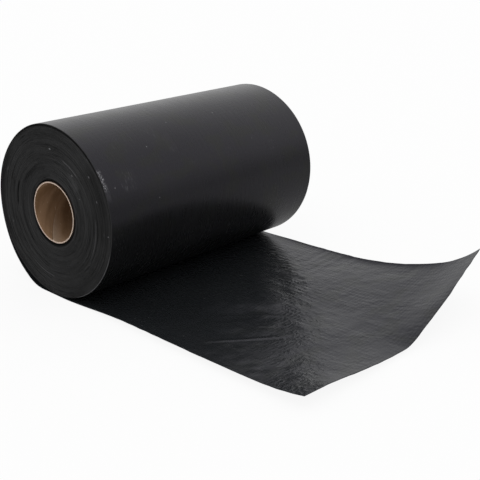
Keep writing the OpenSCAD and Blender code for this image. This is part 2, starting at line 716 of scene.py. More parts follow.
@dataclass(frozen=True)
class CutEdgeFinish:
    """The edges of the turns on the roll's ends: matt black, with painted glints on short thin dashes of
    the edges, and painted shade where the turns lie apart.
    """

    centre_z: float
    colour: Triple = (0.0095, 0.0095, 0.0098)
    pale: Triple = (0.0225, 0.0225, 0.0230)
    # Painted shade, put where the turns lie apart and on the shaded arcs
    gap: Triple = (0.0020, 0.0020, 0.0020)
    # Painted highlight colour, for the painted glints, the specks and the pale arcs
    painted_glint_colour: Triple = (0.22, 0.22, 0.23)
    painted_glint_share: float = 0.4
    specks: Specks = Specks(120.0, 0.09, (0.93, 0.95))
    specular: float = 0.22
    roughness: float = 0.52
    dash: Pair = (0.7 * MM, 9.0 * MM)
    dash_depth: float = 0.10 * MM
    band: Pair = (2.2 * MM, 40.0 * MM)
    band_share: float = 0.7
    # Width and length of the arcs of painted shade where the turns lie apart
    loose: Pair = (0.85 * MM, 26.0 * MM)
    # The listed arcs of painted highlight and painted shade
    marks: tuple[PaintedEdgeArc, ...] = ()

    def rings(self, n: Nodes, around: Socket, arc: Pair) -> Socket:
        """A noise drawn out into arcs round the axis.

        Args:
            n: The material's nodes.
            around: The radius of a place, and its x and z from the axis, as one vector.
            arc: Width and length of an arc.

        Returns:
            The noise's output.
        """
        width, length = arc
        return n.noise(around, (1.0 / width, 1.0 / length, 1.0 / length))

    def painted_arcs(self, n: Nodes, polar: tuple[object, object, object], y: object, painted_shade: bool) -> object:
        """The arcs of painted highlight or of painted shade, listed one by one.

        Args:
            n: The material's nodes.
            polar: The radius of a place, and its x and z from the axis.
            y: The place along the axis.
            painted_shade: Whether it reads the arcs of painted shade, or the pale arcs of painted
                highlight.

        Returns:
            How strong they are at each place.
        """
        radius, x, z = polar
        found: object = 0.0
        for mark in self.marks:
            if mark.painted_shade != painted_shade:
                continue
            rise, reach = math.radians(mark.rise), math.radians(mark.half_angle)
            toward = n.plus(n.times(x, math.cos(rise)), n.times(z, math.sin(rise)))
            toward = n.math("DIVIDE", toward, radius)
            off = n.apart(radius, mark.radius)
            here = n.times(
                n.between(toward, math.cos(reach), math.cos(0.6 * reach)),
                n.between(off, 0.5 * mark.half_width, mark.half_width, mark.strength, 0.0),
            )
            found = n.most(here, found)
        return n.times(n.between(y, -10.0 * MM, 10.0 * MM, 1.0, 0.0), found)

    def material(self, name: str) -> bpy.types.Material:
        """Makes the material.

        Args:
            name: The material's name.

        Returns:
            The material.
        """
        n = Nodes(name)
        inputs = n.surface.inputs
        inputs["Specular IOR Level"].default_value = self.specular
        place = n.place()
        x, y, z = n.split(place)
        z = n.minus(z, self.centre_z)
        radius = n.radius(x, z)
        polar, around = (radius, x, z), n.joined(radius, x, z)
        dashes = self.rings(n, around, self.dash)
        broad = n.noise(place, (22.0, 22.0, 22.0), detail=1.0)
        bands = self.rings(n, around, self.band)
        tone = n.plus(n.times(bands, self.band_share), n.times(broad, 1.0 - self.band_share))
        colour = n.blend(n.between(tone, 0.36, 0.62), self.colour, self.pale)
        patches = n.noise(place, (34.0, 34.0, 34.0), detail=1.0)
        # Painted shade where the turns lie apart and on the listed shaded arcs: a near-black colour,
        # with less gloss
        gap_shade = n.times(
            n.between(self.rings(n, around, self.loose), 0.58, 0.66),
            n.between(patches, 0.44, 0.56, 0.75, 0.2),
        )
        gap_shade = n.most(gap_shade, self.painted_arcs(n, polar, y, painted_shade=True))
        colour = n.blend(gap_shade, colour, self.gap)
        gloss = n.minus(self.specular, n.times(gap_shade, 0.75 * self.specular))
        n.plug(gloss, inputs["Specular IOR Level"])
        # Painted glints: short dashes of the turn edges, in patches; the specks and the pale arcs take
        # the same painted highlight colour
        glints = n.times(n.between(dashes, 0.66, 0.76), n.between(patches, 0.5, 0.66, 0.1, 1.0))
        specks = n.specks(place, self.specks)
        # The pale listed arcs: painted highlight
        pale = self.painted_arcs(n, polar, y, painted_shade=False)
        marks = n.most(n.times(glints, self.painted_glint_share), specks, pale)
        n.plug(n.blend(marks, colour, self.painted_glint_colour), inputs["Base Color"])
        low, high = self.roughness - 0.08, self.roughness + 0.1
        n.plug(n.between(tone, 0.2, 0.8, low, high), inputs["Roughness"])
        n.plug(n.bump(dashes, self.dash_depth), inputs["Normal"])
        return n.material


@dataclass(frozen=True)
class CardboardFinish:
    """Spiral-wound kraft board: brown paper with short fibres, paler where it is cut, with painted shade
    on its outer wall and a paler lapped strip by the seam that is partly painted light.
    """

    round_l: float
    half_l: float
    outer_r: float
    centre_z: float
    seam_l: float
    uv: str = "paper"
    specular: float = 0.2
    brown: Triple = (0.190, 0.108, 0.054)
    light: Triple = (0.30, 0.185, 0.106)
    mottled: Cloud = Cloud((30.0, 18.0, 1.0), (0.36, 0.64), 4.0, 0.6)
    # Painted shade on the tube's outer wall, which shows only in the narrow ring between the tube and
    # the turns
    painted_wall_shade: Triple = (0.022, 0.015, 0.011)
    # Paler lapped paper by the seam, partly a paper tint and partly painted light: lightest at the
    # mouth, fading deeper into the bore
    lap_tint_and_painted_light: Triple = (0.42, 0.315, 0.23)
    overlap_l: float = 30.0 * MM
    fibre_depth: float = 0.06 * MM
    fibre: Triple = (0.17, 0.10, 0.06)
    pale_fibre: Triple = (0.62, 0.47, 0.34)
    stray: Cloud = Cloud((160.0, 900.0, 7.0), (0.66, 0.74))
    seam: Triple = (0.05, 0.028, 0.017)
    cut: Triple = (0.82, 0.67, 0.57)

    def material(self, name: str) -> bpy.types.Material:
        """Makes the material.

        Args:
            name: The material's name.

        Returns:
            The material.
        """
        n = Nodes(name)
        inputs = n.surface.inputs
        inputs["Specular IOR Level"].default_value = self.specular
        uv, place = n.place(self.uv), n.place()
        x, y, z = n.split(place)
        out_y = n.math("ABSOLUTE", y)
        from_mouth = n.minus(self.half_l, out_y)
        by_mouth = n.between(from_mouth, 0.3 * self.seam_l, self.seam_l, 1.0, 0.0)
        colour = n.blend(n.cloud(uv, self.mottled), self.brown, self.light)
        round_at, _, _ = n.split(uv)
        # Lapped strip by the seam, partly painted light that fades with depth from the mouth
        lap_and_light_mask = n.times(n.between(round_at, 0.0, self.overlap_l, 0.8, 0.0), by_mouth)
        colour = n.blend(lap_and_light_mask, colour, self.lap_tint_and_painted_light)
        fibres = n.noise(uv, (260.0, 1100.0, 1.0), detail=3.0)
        colour = n.blend(n.between(fibres, 0.58, 0.75, 0.0, 0.5), colour, self.fibre)
        colour = n.blend(n.cloud(uv, self.stray, last=0.6), colour, self.pale_fibre)
        in_seam = n.most(
            n.between(round_at, 0.3 * MM, 1.1 * MM, 1.0, 0.0),
            n.between(round_at, self.round_l - 0.9 * MM, self.round_l - 0.3 * MM),
        )
        colour = n.blend(n.times(in_seam, by_mouth), colour, self.seam)
        _, facing, _ = n.split(n.add("ShaderNodeNewGeometry").outputs["True Normal"])
        on_cut = n.times(
            n.between(n.math("ABSOLUTE", facing), 0.5, 0.8),
            n.between(out_y, self.half_l - 2.0 * MM, self.half_l - 1.0 * MM),
        )
        colour = n.blend(on_cut, colour, self.cut)
        # Painted shade on the outer wall of the tube
        radius = n.radius(x, n.minus(z, self.centre_z))
        outside = n.between(radius, self.outer_r - 0.25 * MM, self.outer_r - 0.05 * MM)
        n.plug(n.blend(outside, colour, self.painted_wall_shade), inputs["Base Color"])
        n.plug(n.between(fibres, 0.3, 0.7, 0.78, 0.9), inputs["Roughness"])
        n.plug(n.bump(fibres, self.fibre_depth), inputs["Normal"])
        return n.material


# ---------------------------------------------------------------------------------------------------
# The roll


@dataclass
class StripShape:
    """Sizes of the strip and the roll, which every piece is worked out from."""

    width: float = 300.0 * MM
    thickness: float = 0.7 * MM
    tube_gap: float = 0.25 * MM
    nip_press: float = 0.15 * MM
    axis_z: float = field(init=False)
    tube_r: float = field(init=False)
    tube_l: float = field(init=False)
    roll_r: float = field(init=False)
    tail_l: float = field(init=False)

    def __post_init__(self) -> None:
        """Reads the sizes that the CAD nodes have."""
        low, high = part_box("core_tube")
        self.axis_z = (low.z + high.z) / 2.0
        self.tube_r = (high.z - low.z) / 2.0
        self.tube_l = high.y - low.y
        low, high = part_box("dpc_sheet")
        self.roll_r = -low.x
        self.tail_l = high.x

    @property
    def bore_r(self) -> float:
        """Radius of the first turn's inner face."""
        return self.tube_r + self.tube_gap

    @property
    def half_width(self) -> float:
        """From the middle of the strip to one edge."""
        return self.width / 2.0


@dataclass
class WoundRoll:
    """The turns wound tight on the tube, as one spiral from the bore to the skin.

    The stretches over which it bulges are in degrees round from where the strip leaves it.
    """

    LOOP_PLACE = "place_in_loop"

    shape: StripShape
    turns: int = 79
    columns: int = 180
    skin_rows: int = 56
    bore_rows: int = 10
    crest: Pair = (0.24, 0.76)
    groove: float = 0.22 * MM
    gap_depth: float = 0.85 * MM
    slow_walk: float = 0.50 * MM
    turn_walk: float = 0.20 * MM
    edge_jitter: float = 0.08 * MM
    slips: tuple[Pair, ...] = (
        (9.0, 0.12 * MM),
        (23.0, -0.20 * MM),
        (37.0, 0.25 * MM),
        (52.0, -0.20 * MM),
        (66.0, 0.20 * MM),
    )
    core_recess: float = 1.0 * MM
    core_turns: float = 2.2
    dents: tuple[Unevenness, ...] = (
        Unevenness(0.07 * MM, (0.045, 0.06), (9.0, 31.0)),
        Unevenness(0.03 * MM, (0.014, 0.03), (90.0, 11.0)),
    )
    dent_sink: float = 0.06 * MM
    dent_fade_l: float = 10.0 * MM
    rim_round: float = 0.25 * MM
    bulge: float = 1.2 * MM
    bulge_over: tuple[Pair, Pair] = ((150.0, 197.0), (268.0, 325.0))
    far_bulge: float = 1.0 * MM
    far_bulge_over: tuple[Pair, Pair] = ((125.0, 168.0), (205.0, 250.0))
    scuffs: tuple[Scuff, ...] = (
        Scuff(33.5, -149.5 * MM, 8.5, 4.6 * MM, 0.95, (500.0, 1100.0), (0.50, 0.60)),
        Scuff(26.0, -148.5 * MM, 7.0, 5.0 * MM, 0.06, (600.0, 600.0), (0.30, 0.60)),
        Scuff(30.5, -119.0 * MM, 8.0, 12.0 * MM, 0.16, (90.0, 700.0), (0.54, 0.64)),
        Scuff(56.0, -62.0 * MM, 10.0, 10.0 * MM, 0.08),
        Scuff(47.0, -48.0 * MM, 9.0, 7.0 * MM, 0.10),
    )
    # Painted highlight arcs, and painted shade arcs where the turns lie apart, on the near end
    painted_edge_arcs: tuple[PaintedEdgeArc, ...] = (
        PaintedEdgeArc(65.7 * MM, 91.0, 1.2, 0.8 * MM, 1.0),
        PaintedEdgeArc(55.8 * MM, 55.0, 1.2, 0.8 * MM, 0.5),
        PaintedEdgeArc(75.9 * MM, 41.0, 1.0, 0.7 * MM, 0.6),
        PaintedEdgeArc(73.7 * MM, 22.0, 1.0, 0.7 * MM, 0.6),
        PaintedEdgeArc(50.5 * MM, 50.0, 13.0, 6.0 * MM, 0.06),
        PaintedEdgeArc(60.0 * MM, 61.0, 14.0, 0.8 * MM, 0.22),
        PaintedEdgeArc(69.0 * MM, -105.0, 16.0, 0.8 * MM, 0.16),
        PaintedEdgeArc(66.0 * MM, -10.0, 20.0, 0.9 * MM, 0.14),
        PaintedEdgeArc(88.4 * MM, -40.0, 30.0, 0.7 * MM, 0.35),
        PaintedEdgeArc(58.5 * MM, 171.0, 15.0, 1.5 * MM, 0.9, painted_shade=True),
        PaintedEdgeArc(81.5 * MM, -153.0, 12.0, 1.0 * MM, 0.9, painted_shade=True),
        PaintedEdgeArc(84.0 * MM, 175.0, 40.0, 6.0 * MM, 0.35, painted_shade=True),
        PaintedEdgeArc(74.0 * MM, 19.0, 34.0, 15.0 * MM, 0.32, painted_shade=True),
        PaintedEdgeArc(88.3 * MM, 110.0, 95.0, 1.3 * MM, 0.9, painted_shade=True),
        PaintedEdgeArc(33.0 * MM, -20.0, 179.9, 3.0 * MM, 0.95, painted_shade=True),
    )

    def __post_init__(self) -> None:
        """Works out the pitch.

        The radius that the roll rests on is the skin's at the bottom, a quarter turn on from where
        the strip leaves.
        """
        self.rows_per_turn = 1 + len(self.crest)
        self.last_row = self.turns * self.rows_per_turn
        reach = self.shape.roll_r - self.shape.bore_r
        self.pitch = reach / (self.turns + 0.25)
        self.noise = Wander(7)

    @property
    def leave_r(self) -> float:
        """Radius of the skin where the strip leaves it, at the end of the last turn."""
        return self.shape.bore_r + self.pitch * (self.turns + 1)

    def edge_slide(self, wound: np.ndarray) -> np.ndarray:
        """How far the strip's edge lies to one side, along the wound length counted in turns.

        Args:
            wound: Turns wound so far, with the part of a turn.

        Returns:
            The slide of each, in metres.
        """
        steps = sum(size * smooth_step(wound, at, at + 0.4) for at, size in self.slips)
        return (
            self.slow_walk * self.noise.line(wound / 7.0, 3)
            + steps
            + self.turn_walk * self.noise.line(wound / 0.9, 20)
            + self.edge_jitter * self.noise.line(wound / 0.11, 40)
        )

    def groove_depth(self, wound: np.ndarray) -> np.ndarray:
        """How far the groove between two turns goes in: shallow, and deep where they lie loose."""
        loose = smooth_step(self.noise.line(wound / 0.45, 60), 0.45, 0.95)
        loose = loose * smooth_step(self.noise.line(wound / 4.0, 80), -0.2, 0.6)
        return self.groove + self.gap_depth * loose

    def end_row(
        self, row: np.ndarray, share: np.ndarray, side: LoopPart
    ) -> tuple[np.ndarray, np.ndarray]:
        """The radius and the place along the axis of rows on one end.

        Args:
            row: Row numbers, rows_per_turn to a turn. The first of each turn is a groove.
            share: Share of a turn round from where the strip leaves.
            side: Which end.

        Returns:
            Radius and y of each.
        """
        turn, part = row // self.rows_per_turn, row % self.rows_per_turn
        place = np.array([0.0, *self.crest])[part]
        wound = turn + share
        radius = self.shape.bore_r + self.pitch * (wound + place)
        here = int(side) * self.edge_slide(wound)
        below = int(side) * self.edge_slide(wound - 1.0)
        recess = self.core_recess * np.exp(-((wound / self.core_turns) ** 2))
        in_groove = np.minimum(here, below) - self.groove_depth(wound)
        out = np.where(part == 0, in_groove, here) - recess
        out = np.where(row >= self.last_row, below - self.rim_round, out)
        return radius, int(side) * (self.shape.half_width + out)

    def out_of_round(self, radius: np.ndarray, share: np.ndarray, y: np.ndarray) -> np.ndarray:
        """How far the turns bulge: most at the skin, over the upper front, and more at the far end.

        Args:
            radius: Radius of each point before the bulge.
            share: Share of a turn round from where the strip leaves.
            y: Place along the axis.

        Returns:
            The bulge of each.
        """
        turned = 360.0 * share
        far_share = np.clip(y / self.shape.width + 0.5, 0.0, 1.0)
        size = self.bulge * hump(turned, *self.bulge_over)
        size = size + self.far_bulge * hump(turned, *self.far_bulge_over) * far_share
        depth = (radius - self.shape.bore_r) / (self.shape.roll_r - self.shape.bore_r)
        return size * np.clip(depth, 0.0, 1.0) ** 2

    def skin_dent(self, share: np.ndarray, y: np.ndarray) -> np.ndarray:
        """Shallow unevenness of the skin, which fades out at its rims and where the strip leaves."""
        length = 2.0 * math.pi * self.shape.roll_r * share
        fade = smooth_step(self.shape.half_width - np.abs(y), 0.0, self.dent_fade_l)
        fade = fade * hump(share, (0.0, 0.05), (0.95, 1.0))
        rise = sum(dents.rise(self.noise, length, y) for dents in self.dents)
        return fade * (rise - self.dent_sink)

    def loop(self) -> tuple[np.ndarray, np.ndarray, np.ndarray]:
        """The outline that is spun: up the near end, along the skin, down the far end, back in the bore.

        Returns:
            For each point its LoopPart, its row, and its share of the width.
        """
        ends = np.arange(self.last_row + 1)
        skin = np.linspace(0.0, 1.0, self.skin_rows + 1)[1:-1]
        skin = 0.5 - 0.5 * np.cos(math.pi * skin) * (0.75 + 0.25 * np.abs(np.cos(math.pi * skin)))
        bore = np.linspace(1.0, 0.0, self.bore_rows + 1)[1:-1]
        parts = (
            (LoopPart.NEAR_END, ends, np.zeros(len(ends))),
            (LoopPart.SKIN, np.full(len(skin), self.last_row), skin),
            (LoopPart.FAR_END, ends[::-1], np.ones(len(ends))),
            (LoopPart.BORE, np.zeros(len(bore), int), bore),
        )
        kind = np.concatenate([np.full(len(rows), int(part)) for part, rows, _ in parts])
        row = np.concatenate([rows for _, rows, _ in parts])
        across = np.concatenate([shares for _, _, shares in parts])
        return kind, row, across

    def spin(self) -> bpy.types.Object:
        """Adds a ring of points and spins it once round the roll's axis, with its two ends left apart.

        Returns:
            The piece. Its point attribute LOOP_PLACE numbers the outline's points.
        """
        _, row, across = self.loop()
        count = len(row)
        deselect_all()
        bpy.ops.mesh.primitive_circle_add(
            vertices=count, radius=self.shape.roll_r, fill_type="NOTHING"
        )
        piece = bpy.context.object
        piece.name = piece.data.name = "dpc_roll"
        radius = self.shape.bore_r + self.pitch * row / self.rows_per_turn
        y = (across - 0.5) * self.shape.width
        put_points(piece, np.column_stack([-radius, y, np.full(count, self.shape.axis_z)]))
        layer = piece.data.attributes.new(self.LOOP_PLACE, "INT", "POINT")
        layer.data.foreach_set("value", np.arange(count, dtype=np.int32))
        make_active(piece)
        bpy.ops.object.mode_set(mode="EDIT")
        bpy.ops.mesh.select_all(action="SELECT")
        bpy.ops.mesh.spin(
            steps=self.columns,
            angle=2.0 * math.pi * self.columns / (self.columns + 1),
            center=(0.0, 0.0, self.shape.axis_z),
            axis=(0.0, 1.0, 0.0),
            use_auto_merge=False,
        )
        bpy.ops.object.mode_set(mode="OBJECT")
        return piece

    def build(self) -> bpy.types.Object:
        """Spins the outline, moves it on to the spiral and closes it.

        Returns:
            The finished mesh, without its finish.
        """
        piece = self.spin()
        points = get_points(piece)
        number = np.empty(len(points), dtype=np.int32)
        layer = piece.data.attributes[self.LOOP_PLACE]
        layer.data.foreach_get("value", number)
        kind, row, across = (values[number] for values in self.loop())
        turned = np.arctan2(self.shape.axis_z - points[:, 2], -points[:, 0]) % (2.0 * math.pi)
        column = np.round(turned / (2.0 * math.pi) * (self.columns + 1)).astype(int)
        share = column % (self.columns + 1) / self.columns
        near_r, near_y = self.end_row(row, share, LoopPart.NEAR_END)
        far_r, far_y = self.end_row(row, share, LoopPart.FAR_END)
        radius = np.where(kind == LoopPart.FAR_END, far_r, near_r)
        ends = [kind == LoopPart.NEAR_END, kind == LoopPart.FAR_END]
        y = np.select(ends, [near_y, far_y], near_y + (far_y - near_y) * across)
        radius = radius + np.where(kind == LoopPart.SKIN, self.skin_dent(share, y), 0.0)
        radius = radius + self.out_of_round(radius, share, y)
        angle = 2.0 * math.pi * share
        x, z = -radius * np.cos(angle), self.shape.axis_z - radius * np.sin(angle)
        put_points(piece, np.column_stack([x, y, z]))
        write_uv(piece, "strip", angle * self.shape.roll_r, y)
        self.sort_faces(piece, kind)
        piece.data.attributes.remove(piece.data.attributes[self.LOOP_PLACE])
        close_and_turn_out(piece)
        return piece

    def sort_faces(self, piece: bpy.types.Object, kind: np.ndarray) -> None:
        """Marks the faces of both ends as cut edges, and the rest as skin."""
        faces = get_corners(piece).reshape(-1, 4)
        on_end = np.isin(kind[faces], (int(LoopPart.NEAR_END), int(LoopPart.FAR_END))).all(axis=1)
        zones = np.where(on_end, int(RollZone.CUT_EDGES), int(RollZone.SKIN)).astype(np.int32)
        piece.data.polygons.foreach_set("material_index", zones)

    def dress(self, piece: bpy.types.Object) -> None:
        """Gives the skin and the cut edges their finishes, in the order of RollZone."""
        skin = PolytheneFinish(
            emboss_depth=0.04 * MM,
            crumple_depth=0.07 * MM,
            crumple_l=9.0 * MM,
            axis_z=self.shape.axis_z,
            scuffs=self.scuffs,
        )
        piece.data.materials.append(skin.material("polythene_skin"))
        edges = CutEdgeFinish(centre_z=self.shape.axis_z, marks=self.painted_edge_arcs)
        piece.data.materials.append(edges.material("polythene_cut_edges"))


@dataclass(frozen=True)
class Crease:
    """A soft fold that stands up from the sheet, from one point to another."""

    start: Pair
    end: Pair
    height: float
    width: float
    bow: float = 0.0
    near_share: float = 0.55

    def rise(self, s: np.ndarray, y: np.ndarray) -> np.ndarray:
        """The fold's height, steeper on its near side.

        Args:
            s: Distance along the tail.
            y: Place across the strip.

        Returns:
            The height at each point.
        """
        a, b = np.array(self.start), np.array(self.end)
        length = float(np.hypot(*(b - a)))
        toward_s, toward_y = (b - a) / length
        along = ((s - a[0]) * toward_s + (y - a[1]) * toward_y) / length
        off = (y - a[1]) * toward_s - (s - a[0]) * toward_y
        off = off - self.bow * np.sin(math.pi * np.clip(along, 0.0, 1.0))
        wide = np.where(off > 0.0, self.width, self.width * self.near_share)
        fade = hump(along, (-0.15, 0.25), (0.75, 1.15))
        return self.height * np.exp(-((off / wide) ** 2)) * fade


@dataclass(frozen=True)
class Dimple:
    """A round hill on the sheet, or a hollow if its height is below 0, with its radius each way."""

    centre: Pair
    height: float
    radii: Pair

    def rise(self, s: np.ndarray, y: np.ndarray) -> np.ndarray:
        """The hill's height at distances along the tail and places across it."""
        along = (s - self.centre[0]) / self.radii[0]
        across = (y - self.centre[1]) / self.radii[1]
        return self.height * np.exp(-(along**2) - across**2)


@dataclass(frozen=True)
class TailLift:
    """How high the tail stands over the floor: both corners curl up, with a ridge and a swell between.

    Distances run along the tail from the line that the roll lies on, and places across it from its
    middle. They're worked out as in the CAD part.
    """

    length: float
    half_width: float
    start: float
    far_rise: float = 57.0 * MM
    far_power: float = 3.8
    far_from: float = 5.0 * MM
    far_narrowing: float = 0.7
    far_widening_l: float = 70.0 * MM
    near_rise: float = 7.6 * MM
    near_curl_l: float = 68.0 * MM
    near_from: float = -26.0 * MM
    ridge_h: float = 5.2 * MM
    ridge_rise_l: float = 100.0 * MM
    ridge_from: Pair = (-70.0 * MM, 180.0 * MM)
    ridge_power: float = 3.0
    swell_h: float = 1.7 * MM
    swell_l: float = 89.0 * MM
    swell_rise_l: float = 50.0 * MM
    swell_w: float = 110.0 * MM
    soft_w: float = 10.0 * MM

    def soft_ramp(self, t: np.ndarray) -> np.ndarray:
        """Climbs evenly from t = 0, after a soft start."""
        return (t + np.sqrt(t**2 + self.soft_w**2)) / 2.0

    def far_lift(self, s: np.ndarray, y: np.ndarray) -> np.ndarray:
        """The far corner's curl."""
        across = self.soft_ramp(y - self.far_from) / (self.half_width - self.far_from)
        before_end = (self.length - s) / self.far_widening_l
        narrow = 1.0 + self.far_narrowing * smooth_step(before_end, 0.0, 1.0)
        return self.far_rise * (s / self.length) ** self.far_power * across**narrow

    def near_lift(self, s: np.ndarray, y: np.ndarray) -> np.ndarray:
        """The near corner's curl, which levels off at the edge."""
        along = np.maximum(0.0, 1.0 - (self.length - s) / self.near_curl_l)
        across = self.soft_ramp(self.near_from - y) / (self.near_from + self.half_width)
        return self.near_rise * along**2 * np.sin(math.pi / 2.0 * np.minimum(1.0, across))

    def ridge(self, s: np.ndarray, y: np.ndarray) -> np.ndarray:
        """The long ridge in the near edge, which spreads over the strip towards the cut end."""
        at_roll, at_end = self.ridge_from
        begin = at_roll + (at_end - at_roll) * s / self.length
        across = np.maximum(0.0, (begin - y) / (begin + self.half_width))
        along = smooth_step((s - self.start) / self.ridge_rise_l, 0.0, 1.0)
        return self.ridge_h * along * across**self.ridge_power

    def swell(self, s: np.ndarray, y: np.ndarray) -> np.ndarray:
        """The swell in the middle of the cut end."""
        along = 0.5 + (s - self.length + self.swell_l) / self.swell_rise_l
        across = np.minimum(1.0, np.abs(y) / self.swell_w)
        return self.swell_h * smooth_step(along, 0.0, 1.0) * np.cos(math.pi / 2.0 * across) ** 2

    def height(self, s: np.ndarray, y: np.ndarray) -> np.ndarray:
        """The whole lift.

        Args:
            s: Distances along the tail.
            y: Places across the strip.

        Returns:
            Height of the underside over the floor.
        """
        return self.far_lift(s, y) + self.near_lift(s, y) + self.ridge(s, y) + self.swell(s, y)


@dataclass
class Tail:
    """The free strip: the loose outer turn, and the tail on the floor with its far corner curled up.

    A pair of distances along the strip is the stretch in which something comes in. A second pair
    is the stretch in which it goes out.
    """

    shape: StripShape
    start_r: float
    loose_slack: float = 8.5 * MM
    loose_swell: float = 0.5 * MM
    loose_slide: float = -0.9 * MM
    loose_slide_from: Pair = (0.01, 0.07)
    floor_bend_r: float = 42.0 * MM
    start_depth: float = 0.3 * MM
    nip_margin: float = 3.0 * MM
    cut_bow: Triple = (-0.5 * MM, 2.6 * MM, -0.9 * MM)
    cut_bow_from: float = 230.0 * MM
    cut_wander: float = 0.40 * MM
    cut_jitter: float = 0.30 * MM
    arc_columns: int = 40
    nip_columns: int = 10
    tail_columns: int = 200
    rows: int = 164
    blend_in: float = math.radians(26)
    creases: tuple[Crease, ...] = (
        Crease((0.1885, -0.125), (0.2395, -0.0465), 0.60 * MM, 2.6 * MM, -1.5 * MM),
        Crease((0.1200, -0.0640), (0.1770, -0.0010), 2.90 * MM, 120.0 * MM, near_share=0.17),
        Crease((0.1680, -0.0980), (0.2150, -0.0520), 0.80 * MM, 30.0 * MM, near_share=0.5),
        Crease((0.1600, -0.0700), (0.2050, -0.0200), 0.20 * MM, 3.0 * MM, 1.0 * MM),
        Crease((0.1990, -0.0640), (0.2180, -0.0380), 0.30 * MM, 2.4 * MM),
        Crease((0.1840, 0.0190), (0.2460, 0.0170), 0.22 * MM, 2.0 * MM, -1.5 * MM),
    )
    dimples: tuple[Dimple, ...] = (
        Dimple((0.327, -0.008), -0.3 * MM, (0.050, 0.022)),
        Dimple((0.327, 0.066), 0.7 * MM, (0.030, 0.034)),
        Dimple((0.332, 0.112), 1.0 * MM, (0.018, 0.030)),
        Dimple((0.266, -0.150), 1.0 * MM, (0.032, 0.030)),
        Dimple((0.332, -0.122), 0.5 * MM, (0.010, 0.015)),
        Dimple((0.146, 0.006), 1.3 * MM, (0.040, 0.036)),
        Dimple((0.334, 0.030), 0.4 * MM, (0.013, 0.035)),
        Dimple((0.220, 0.132), -0.6 * MM, (0.090, 0.022)),
    )
    ripples: Unevenness = Unevenness(0.20 * MM, (0.0048, 0.042), (0.0, 5.0), skew=10.0)
    ripples_over: tuple[Pair, Pair] = ((0.085, 0.12), (0.15, 0.20))
    lumps: Unevenness = Unevenness(0.20 * MM, (0.0085, 0.010), (40.0, 70.0))
    waves: Unevenness = Unevenness(0.30 * MM, (0.045, 0.05), (3.0, 8.0))
    handled_from: Pair = (0.08, 0.12)
    clear_h: float = 0.25 * MM
    floor_blend: float = 0.12 * MM
    pressed_until: float = 30.0 * MM
    edge_turn: float = 1.6 * MM
    edge_turn_l: float = 3.0 * MM
    edge_turn_over: tuple[Pair, Pair] = ((0.02, 0.08), (0.24, 0.30))
    gutter: float = 0.9 * MM
    gutter_l: Pair = (6.0 * MM, 40.0 * MM)
    gutter_over: tuple[Pair, Pair] = ((0.12, 0.17), (0.26, 0.32))
    end_lip: float = 1.1 * MM
    end_lip_l: float = 12.0 * MM
    edge_rows: tuple[float, ...] = (0.8 * MM, 1.6 * MM, 2.6 * MM, 3.8 * MM)
    calm_l: float = 200.0 * MM
    calm_fade_l: float = 60.0 * MM

    def __post_init__(self) -> None:
        """Works out the two arcs of the loose turn and where the tail starts."""
        self.loose_r = self.shape.roll_r + self.loose_slack
        rise = (self.shape.axis_z - self.floor_bend_r) / (self.loose_r - self.floor_bend_r)
        self.loose_angle = math.asin(rise)
        self.loose_centre = np.array([self.loose_slack + self.start_depth, self.shape.axis_z])
        swing = np.array([math.cos(self.loose_angle), math.sin(self.loose_angle)])
        self.bend_centre = self.loose_centre - (self.loose_r - self.floor_bend_r) * swing
        self.tail_start = math.sqrt(2.0 * self.shape.roll_r * self.shape.nip_press) + self.nip_margin
        self.lift = TailLift(self.shape.tail_l, self.shape.half_width, self.tail_start)
        self.noise = Wander(19)

    @property
    def flat_size(self) -> Pair:
        """Width and length of the free strip before it was bent."""
        arcs = self.loose_r * self.loose_angle + self.floor_bend_r * (math.pi / 2.0 - self.loose_angle)
        return self.shape.width, arcs + self.shape.tail_l - float(self.bend_centre[0])

    def relief(self, s: np.ndarray, y: np.ndarray) -> np.ndarray:
        """How far the sheet stands off its fair shape.

        The folds and dimples were set one by one. Ripples were left by the winding, and lumps and broad
        waves by handling. The far edge turns up with a gutter inside it, and the cut end has a low lip.

        Args:
            s: Distance along the tail.
            y: Place across the strip.

        Returns:
            The height over the fair shape.
        """
        rise = sum(feature.rise(s, y) for feature in (*self.creases, *self.dimples))
        ripples = self.ripples.rise(self.noise, s, y) * smooth_step(y, -0.01, 0.05)
        handled = self.lumps.rise(self.noise, s, y) + self.waves.rise(self.noise, s, y)
        from_edge = self.shape.half_width - y
        turned_up = self.edge_turn * np.exp(-from_edge / self.edge_turn_l)
        steep, gentle = self.gutter_l
        gutter = self.gutter * np.exp(-from_edge / gentle) * (1.0 - np.exp(-from_edge / steep))
        lip = self.end_lip * np.exp((s - self.shape.tail_l) / self.end_lip_l)
        rise = rise + ripples * hump(s, *self.ripples_over)
        rise = rise + handled * smooth_step(s, *self.handled_from)
        rise = rise + turned_up * hump(s, *self.edge_turn_over)
        rise = rise - gutter * hump(s, *self.gutter_over)
        return rise + lip * smooth_step(y, -0.05, 0.01)

    def arc(self, centre: np.ndarray, radius: np.ndarray, angle: np.ndarray) -> np.ndarray:
        """Points at angles on an arc, measured down from the back of the roll."""
        return centre - radius[:, None] * np.column_stack([np.cos(angle), np.sin(angle)])

